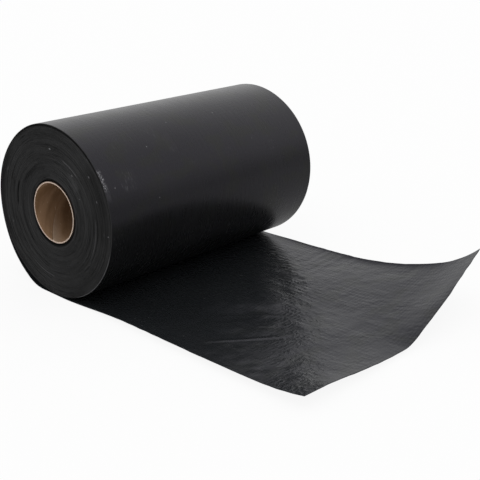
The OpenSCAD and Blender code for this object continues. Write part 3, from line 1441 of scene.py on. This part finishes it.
    def loose_line(self) -> tuple[np.ndarray, np.ndarray, np.ndarray]:
        """The strip's outer face from the roll to the start of the tail.

        Returns:
            Its points in x and z, the slope of each in radians, and the flat distance to each.
        """
        full = self.loose_r * self.loose_angle
        share = full / (full + self.floor_bend_r * (math.pi / 2.0 - self.loose_angle))
        first = np.linspace(0.0, self.loose_angle, max(3, round(self.arc_columns * share)))
        second = np.linspace(self.loose_angle, math.pi / 2.0, self.arc_columns - len(first) + 1)[1:]
        stand = self.start_r - (self.loose_r - self.loose_centre[0])
        proud = stand * (1.0 - smooth_step(first, 0.0, self.blend_in))
        proud = proud + self.loose_swell * smooth_step(first, 0.0, self.blend_in)
        wide = self.arc(self.loose_centre, self.loose_r + proud, first)
        settle = self.loose_swell * (1.0 - smooth_step(second, self.loose_angle, math.pi / 2.0))
        tight = self.arc(self.bend_centre, self.floor_bend_r + settle, second)
        run_x = np.linspace(self.bend_centre[0], self.tail_start, self.nip_columns + 1)[1:]
        run = np.column_stack([run_x, np.zeros(len(run_x))])
        angle = np.concatenate([first, second, np.full(len(run_x), math.pi / 2.0)])
        points = np.vstack([wide, tight, run])
        steps = np.hypot(*np.diff(points, axis=0).T)
        return points, angle - math.pi / 2.0, np.concatenate([[0.0], np.cumsum(steps)])

    def tail_grid(self, y: np.ndarray) -> tuple[np.ndarray, np.ndarray, np.ndarray, np.ndarray]:
        """The tail's underside.

        Args:
            y: Places across the strip.

        Returns:
            Its x, its z and its slope in radians, a row for each y, and the distance along the tail.
        """
        s = np.linspace(self.tail_start, self.shape.tail_l, self.tail_columns + 1)
        fair, step = self.lift.height, 0.5 * MM
        slope = (fair(s + step, y[:, None]) - fair(s - step, y[:, None])) / (2.0 * step)
        half, bow_l = self.shape.half_width, self.shape.tail_l - self.cut_bow_from
        spare = np.interp(y, (-half, 0.0, half), self.cut_bow) / bow_l * 2.0
        share = np.clip((s - self.cut_bow_from) / bow_l, 0.0, 1.0)
        stretch = 1.0 + spare[:, None] * share[1:]
        middle = (slope[:, 1:] + slope[:, :-1]) / 2.0
        run = np.cumsum(np.diff(s) * stretch * np.sqrt(1.0 - middle**2), axis=1)
        x = self.tail_start + np.column_stack([np.zeros(len(y)), run])
        x[:, -1] += self.cut_wander * self.noise.line(y / 0.035, 11)
        x[:, -1] += self.cut_jitter * self.noise.line(y / 0.009, 12)
        lift = fair(s, y[:, None]) + self.relief(s[None, :], y[:, None])
        lift = lift + self.clear_h * smooth_step(s, *self.handled_from)
        above_floor = (lift + np.sqrt(lift**2 + self.floor_blend**2)) / 2.0
        z = above_floor * smooth_step(s, self.tail_start, self.pressed_until)
        return x, z, np.arcsin(slope), s

    def surfaces(self) -> tuple[np.ndarray, np.ndarray, np.ndarray]:
        """Both faces of the strip as grids, across by along.

        Returns:
            The outer face (the underside of the tail), the inner one, and the flat distance along.
        """
        loose, loose_slope, loose_s = self.loose_line()
        half, edge = self.shape.half_width, np.array(self.edge_rows)
        y = np.linspace(-half, half, self.rows + 1)
        y = np.unique(np.concatenate([y[[0, -1]], y[3:-3], edge - half, half - edge]))
        tail_x, tail_z, tail_slope, s = self.tail_grid(y)
        ones = np.ones((len(y), 1))
        x = np.hstack([ones * loose[:, 0], tail_x[:, 1:]])
        z = np.hstack([ones * loose[:, 1], tail_z[:, 1:]])
        slope = np.hstack([ones * loose_slope, tail_slope[:, 1:]])
        flat = np.concatenate([loose_s, loose_s[-1] + s[1:] - self.tail_start])
        across = y[:, None] + self.loose_slide * smooth_step(flat, *self.loose_slide_from)
        outer = np.stack([x, across, z], axis=-1)
        up = np.stack([-np.sin(slope), np.zeros(slope.shape), np.cos(slope)], axis=-1)
        return outer, outer + self.shape.thickness * up, flat

    def build(self) -> bpy.types.Object:
        """Makes the closed sheet.

        Returns:
            The finished mesh, without its finish.
        """
        outer, inner, flat = self.surfaces()
        lines, columns = outer.shape[:2]
        number = np.arange(2 * lines * columns).reshape(2, lines, columns)
        faces = (
            number[0][:, ::-1],
            number[1],
            number[::-1, 0, :],
            number[:, -1, :],
            number[:, :, 0],
            number[::-1, :, -1],
        )
        mesh = bpy.data.meshes.new("dpc_tail")
        points = np.concatenate([outer.reshape(-1, 3), inner.reshape(-1, 3)])
        mesh.from_pydata(points.tolist(), [], np.vstack([self.skin(grid) for grid in faces]).tolist())
        piece = bpy.data.objects.new("dpc_tail", mesh)
        bpy.context.scene.collection.objects.link(piece)
        along = np.broadcast_to(flat, (lines, columns)).ravel()
        write_uv(piece, "strip", np.tile(along, 2), points[:, 1])
        close_and_turn_out(piece)
        return piece

    def skin(self, grid: np.ndarray) -> np.ndarray:
        """The faces of a grid of vertex numbers, four corners each."""
        corners = [grid[:-1, :-1], grid[:-1, 1:], grid[1:, 1:], grid[1:, :-1]]
        return np.stack(corners, axis=-1).reshape(-1, 4)

    def dress(self, piece: bpy.types.Object) -> None:
        """Gives the tail its finish."""
        calm_end = self.flat_size[1] - self.shape.tail_l + self.calm_l
        finish = PolytheneFinish(
            colour=(0.0108, 0.0120, 0.0132),
            haze=(0.0124, 0.0137, 0.0150),
            gloss_tint=(0.80, 0.74, 1.0),
            gloss_tint_low=(0.84, 0.81, 0.88),
            specular=0.19,
            roughness=0.27,
            roughness_spread=0.08,
            emboss_depth=0.13 * MM,
            crumple_depth=0.56 * MM,
            calm=0.35,
            wrinkle_depth=0.12 * MM,
            calm_until=(calm_end - self.calm_fade_l, calm_end),
            speck_share=0.3,
        )
        piece.data.materials.append(finish.material("polythene_tail"))


@dataclass
class CardboardTube:
    """The spiral-wound tube: plies that show on its cut ends, and a seam that winds along its bore."""

    shape: StripShape
    wall: float = 2.75 * MM
    plies: int = 4
    ply_groove: float = 0.12 * MM
    seam_pitch: float = 136.0 * MM
    seam_at_mouth: float = math.radians(-95)
    seam_depth: float = 0.5 * MM
    seam_half: float = 0.6 * MM
    seam_lift: float = 0.15 * MM
    seam_lift_l: float = 6.0 * MM
    seam_l: float = 28.0 * MM
    round_columns: int = 96
    length_rows: int = 90
    edge_round: float = 0.2 * MM
    crushed_l: float = 5.0 * MM
    crushed: float = 0.95 * MM
    worn_bore: float = 0.4 * MM

    @property
    def bore_r(self) -> float:
        """Radius of the bore."""
        return self.shape.tube_r - self.wall

    @property
    def round_l(self) -> float:
        """Distance once round the bore."""
        return 2.0 * math.pi * self.bore_r

    @property
    def half_l(self) -> float:
        """From the tube's middle to one mouth."""
        return self.shape.tube_l / 2.0

    def section(self) -> tuple[np.ndarray, np.ndarray, np.ndarray]:
        """The closed section of the wall: bore, near cut, outside, far cut.

        Returns:
            Radius, place along the axis, and 1 on the bore, of each point.
        """
        half = self.half_l
        inset = half - self.edge_round
        rows = inset * np.sin(np.linspace(-math.pi / 2.0, math.pi / 2.0, self.length_rows + 1))
        mouth = np.clip((np.abs(rows) - half + self.crushed_l) / self.crushed_l, 0.0, 1.0) ** 2
        bore = list(zip(self.bore_r + self.worn_bore * mouth, rows, np.ones(len(rows))))[::-1]
        outer_r = self.shape.tube_r - self.crushed * mouth
        outside = list(zip(outer_r, rows, np.zeros(len(rows))))
        cut = []
        ply = (self.wall - self.crushed - self.worn_bore) / self.plies
        for i in range(self.plies):
            at = self.bore_r + self.worn_bore + i * ply
            if i:
                cut.append((at, half - self.ply_groove, 0.0))
            cut += [(at + 0.2 * ply, half, 0.0), (at + 0.8 * ply, half, 0.0)]
        near = [(r, -y, flag) for r, y, flag in cut]
        points = np.array(bore + near + outside + cut[::-1])
        return points[:, 0], points[:, 1], points[:, 2]

    def column_places(self) -> np.ndarray:
        """Arc distance of each column from the seam on the bore, with three more columns at the seam."""
        plain = np.arange(1, self.round_columns) * self.round_l / self.round_columns
        fine = np.array([0.0, self.seam_half, 2.2 * self.seam_half, self.round_l - self.seam_half])
        return np.sort(np.concatenate([plain, fine]))

    def build(self) -> bpy.types.Object:
        """Rolls a flat grid up into the tube.

        Returns:
            The finished mesh, without its finish.
        """
        radius, y, on_bore = self.section()
        places = self.column_places()
        deselect_all()
        bpy.ops.mesh.primitive_grid_add(
            x_subdivisions=len(radius), y_subdivisions=len(places), size=1.0
        )
        piece = bpy.context.object
        piece.name = piece.data.name = "cardboard_tube"
        flat = get_points(piece)
        i = np.round((flat[:, 0] + 0.5) * len(radius)).astype(int) % len(radius)
        j = np.round((flat[:, 1] + 0.5) * len(places)).astype(int) % len(places)
        radius, y, on_bore, place = radius[i], y[i], on_bore[i], places[j]
        from_seam = np.where(place > self.round_l / 2.0, place - self.round_l, place)
        deep = np.interp(np.abs(from_seam), [0.0, self.seam_half], [1.0, 0.0])
        lift = np.exp(-((from_seam / self.seam_lift_l) ** 2))
        lift = np.where(from_seam > self.seam_half / 2.0, lift, 0.0)
        open_seam = smooth_step(np.abs(y), self.half_l - self.seam_l, self.half_l - 0.3 * self.seam_l)
        seam = self.seam_depth * deep - self.seam_lift * lift
        r = radius + on_bore * open_seam * seam
        twist = (y + self.half_l) / self.seam_pitch * 2.0 * math.pi
        angle = self.seam_at_mouth - twist + place / self.bore_r
        x, z = r * np.cos(angle), self.shape.axis_z + r * np.sin(angle)
        put_points(piece, np.column_stack([x, y, z]))
        write_uv(piece, "paper", (flat[:, 1] + 0.5) * self.round_l, y + 0.3 * radius)
        close_and_turn_out(piece)
        return piece

    def dress(self, piece: bpy.types.Object) -> None:
        """Gives the tube its finish."""
        finish = CardboardFinish(
            round_l=self.round_l,
            half_l=self.half_l,
            outer_r=self.shape.tube_r - self.crushed,
            centre_z=self.shape.axis_z,
            seam_l=self.seam_l,
        )
        piece.data.materials.append(finish.material("kraft_board"))


# ---------------------------------------------------------------------------------------------------
# The studio


@dataclass
class Studio:
    """A plain white floor, soft light and the camera."""

    camera_at: Triple = (0.74065, -0.70434, 0.40588)
    azimuth: float = 41.504
    elevation: float = 20.552
    tilt: float = 1.741
    lens: float = 72.087
    sensor: float = 36.0
    floor_side: float = 12.0
    floor_gap: float = 0.1 * MM
    floor_white: float = 0.9
    ambient: float = 0.85
    overhead: float = 1.12
    low_bright: float = 0.85
    low_dim: float = 0.45
    bright_side: Triple = (-0.64, 0.77, 0.0)
    bright_from: Pair = (0.25, 0.8)
    overhead_from: Pair = (-0.02, 0.5)
    white_share: float = 0.9
    gloss_share: float = 0.1
    gloss_floor: float = 0.55

    def camera(self) -> None:
        """Adds the camera, turned by its azimuth, elevation and tilt."""
        a, e, t = (math.radians(x) for x in (self.azimuth, self.elevation, self.tilt))
        back = Vector((math.sin(a) * math.cos(e), -math.cos(a) * math.cos(e), math.sin(e)))
        right = Vector((math.cos(a), math.sin(a), 0.0))
        up = back.cross(right)
        right, up = math.cos(t) * right + math.sin(t) * up, math.cos(t) * up - math.sin(t) * right
        data = bpy.data.cameras.new("camera")
        data.lens, data.sensor_width = self.lens, self.sensor
        data.clip_start, data.clip_end = 0.01, 50.0
        camera = bpy.data.objects.new("camera", data)
        turn = Matrix((right, up, back)).transposed().to_4x4()
        camera.matrix_world = Matrix.Translation(self.camera_at) @ turn
        bpy.context.scene.collection.objects.link(camera)
        bpy.context.scene.camera = camera

    def world(self) -> None:
        """White surroundings. A gloss sees them brighter overhead, and dimmer low down on one side."""
        world = bpy.data.worlds.new("studio")
        bpy.context.scene.world = world
        world.use_nodes = True
        n = Nodes.of_tree(world.node_tree)
        background = n.tree.nodes["Background"]
        background.inputs["Color"].default_value = (1.0, 1.0, 1.0, 1.0)
        direction = n.add("ShaderNodeTexCoord").outputs["Generated"]
        toward = n.add("ShaderNodeVectorMath", operation="DOT_PRODUCT")
        n.plug(direction, toward.inputs[0])
        toward.inputs[1].default_value = self.bright_side
        low = n.between(toward.outputs["Value"], *self.bright_from, self.low_dim, self.low_bright)
        height = n.between(n.split(direction)[2], *self.overhead_from)
        level = n.plus(n.times(low, n.minus(1.0, height)), n.times(height, self.overhead))
        path = n.add("ShaderNodeLightPath").outputs
        level = n.times(level, n.between(path["Is Diffuse Ray"], 0.0, 1.0, 1.0, self.ambient))
        plain = n.most(path["Is Camera Ray"], path["Is Transmission Ray"])
        level = n.plus(n.times(level, n.minus(1.0, plain)), plain)
        n.plug(level, background.inputs["Strength"])

    def floor(self) -> None:
        """A white floor that keeps a soft shadow."""
        deselect_all()
        bpy.ops.mesh.primitive_plane_add(size=self.floor_side, location=(0.0, 0.0, -self.floor_gap))
        floor = bpy.context.object
        floor.name = "floor"
        n = Nodes("white_floor")
        surface = n.surface
        path = n.add("ShaderNodeLightPath").outputs
        grey = n.blend(path["Is Glossy Ray"], (self.floor_white,) * 3, (self.gloss_floor,) * 3)
        n.plug(grey, surface.inputs["Base Color"])
        surface.inputs["Roughness"].default_value = 0.9
        surface.inputs["Specular IOR Level"].default_value = 0.0
        white = n.add("ShaderNodeEmission")
        mix = n.add("ShaderNodeMixShader")
        plain = n.times(n.most(path["Is Camera Ray"], path["Is Transmission Ray"]), self.white_share)
        gloss = n.times(path["Is Glossy Ray"], self.gloss_share)
        n.plug(n.most(plain, gloss), mix.inputs[0])
        n.plug(surface.outputs[0], mix.inputs[1])
        n.plug(white.outputs[0], mix.inputs[2])
        n.plug(mix.outputs[0], n.tree.nodes["Material Output"].inputs["Surface"])
        floor.data.materials.append(n.material)

    def build(self) -> None:
        """Puts up the whole studio."""
        self.camera()
        self.world()
        self.floor()
        scene = bpy.context.scene
        scene.view_settings.view_transform = "Standard"


def main() -> None:
    """Builds the studio and the pieces in order."""
    logging.basicConfig(level=logging.INFO, format="%(name)s: %(message)s")
    Studio().build()
    shape = StripShape()
    tube = CardboardTube(shape)
    piece = tube.build()
    tube.dress(piece)
    finish_piece(piece, "core_tube", crease_angle=40.0)
    roll = WoundRoll(shape)
    wound = roll.build()
    roll.dress(wound)
    finish_piece(wound, "dpc_sheet", crease_angle=28.0)
    tail = Tail(shape, start_r=roll.leave_r)
    piece = tail.build()
    tail.dress(piece)
    finish_piece(piece, "dpc_sheet", crease_angle=40.0)


if __name__ == "__main__":
    main()
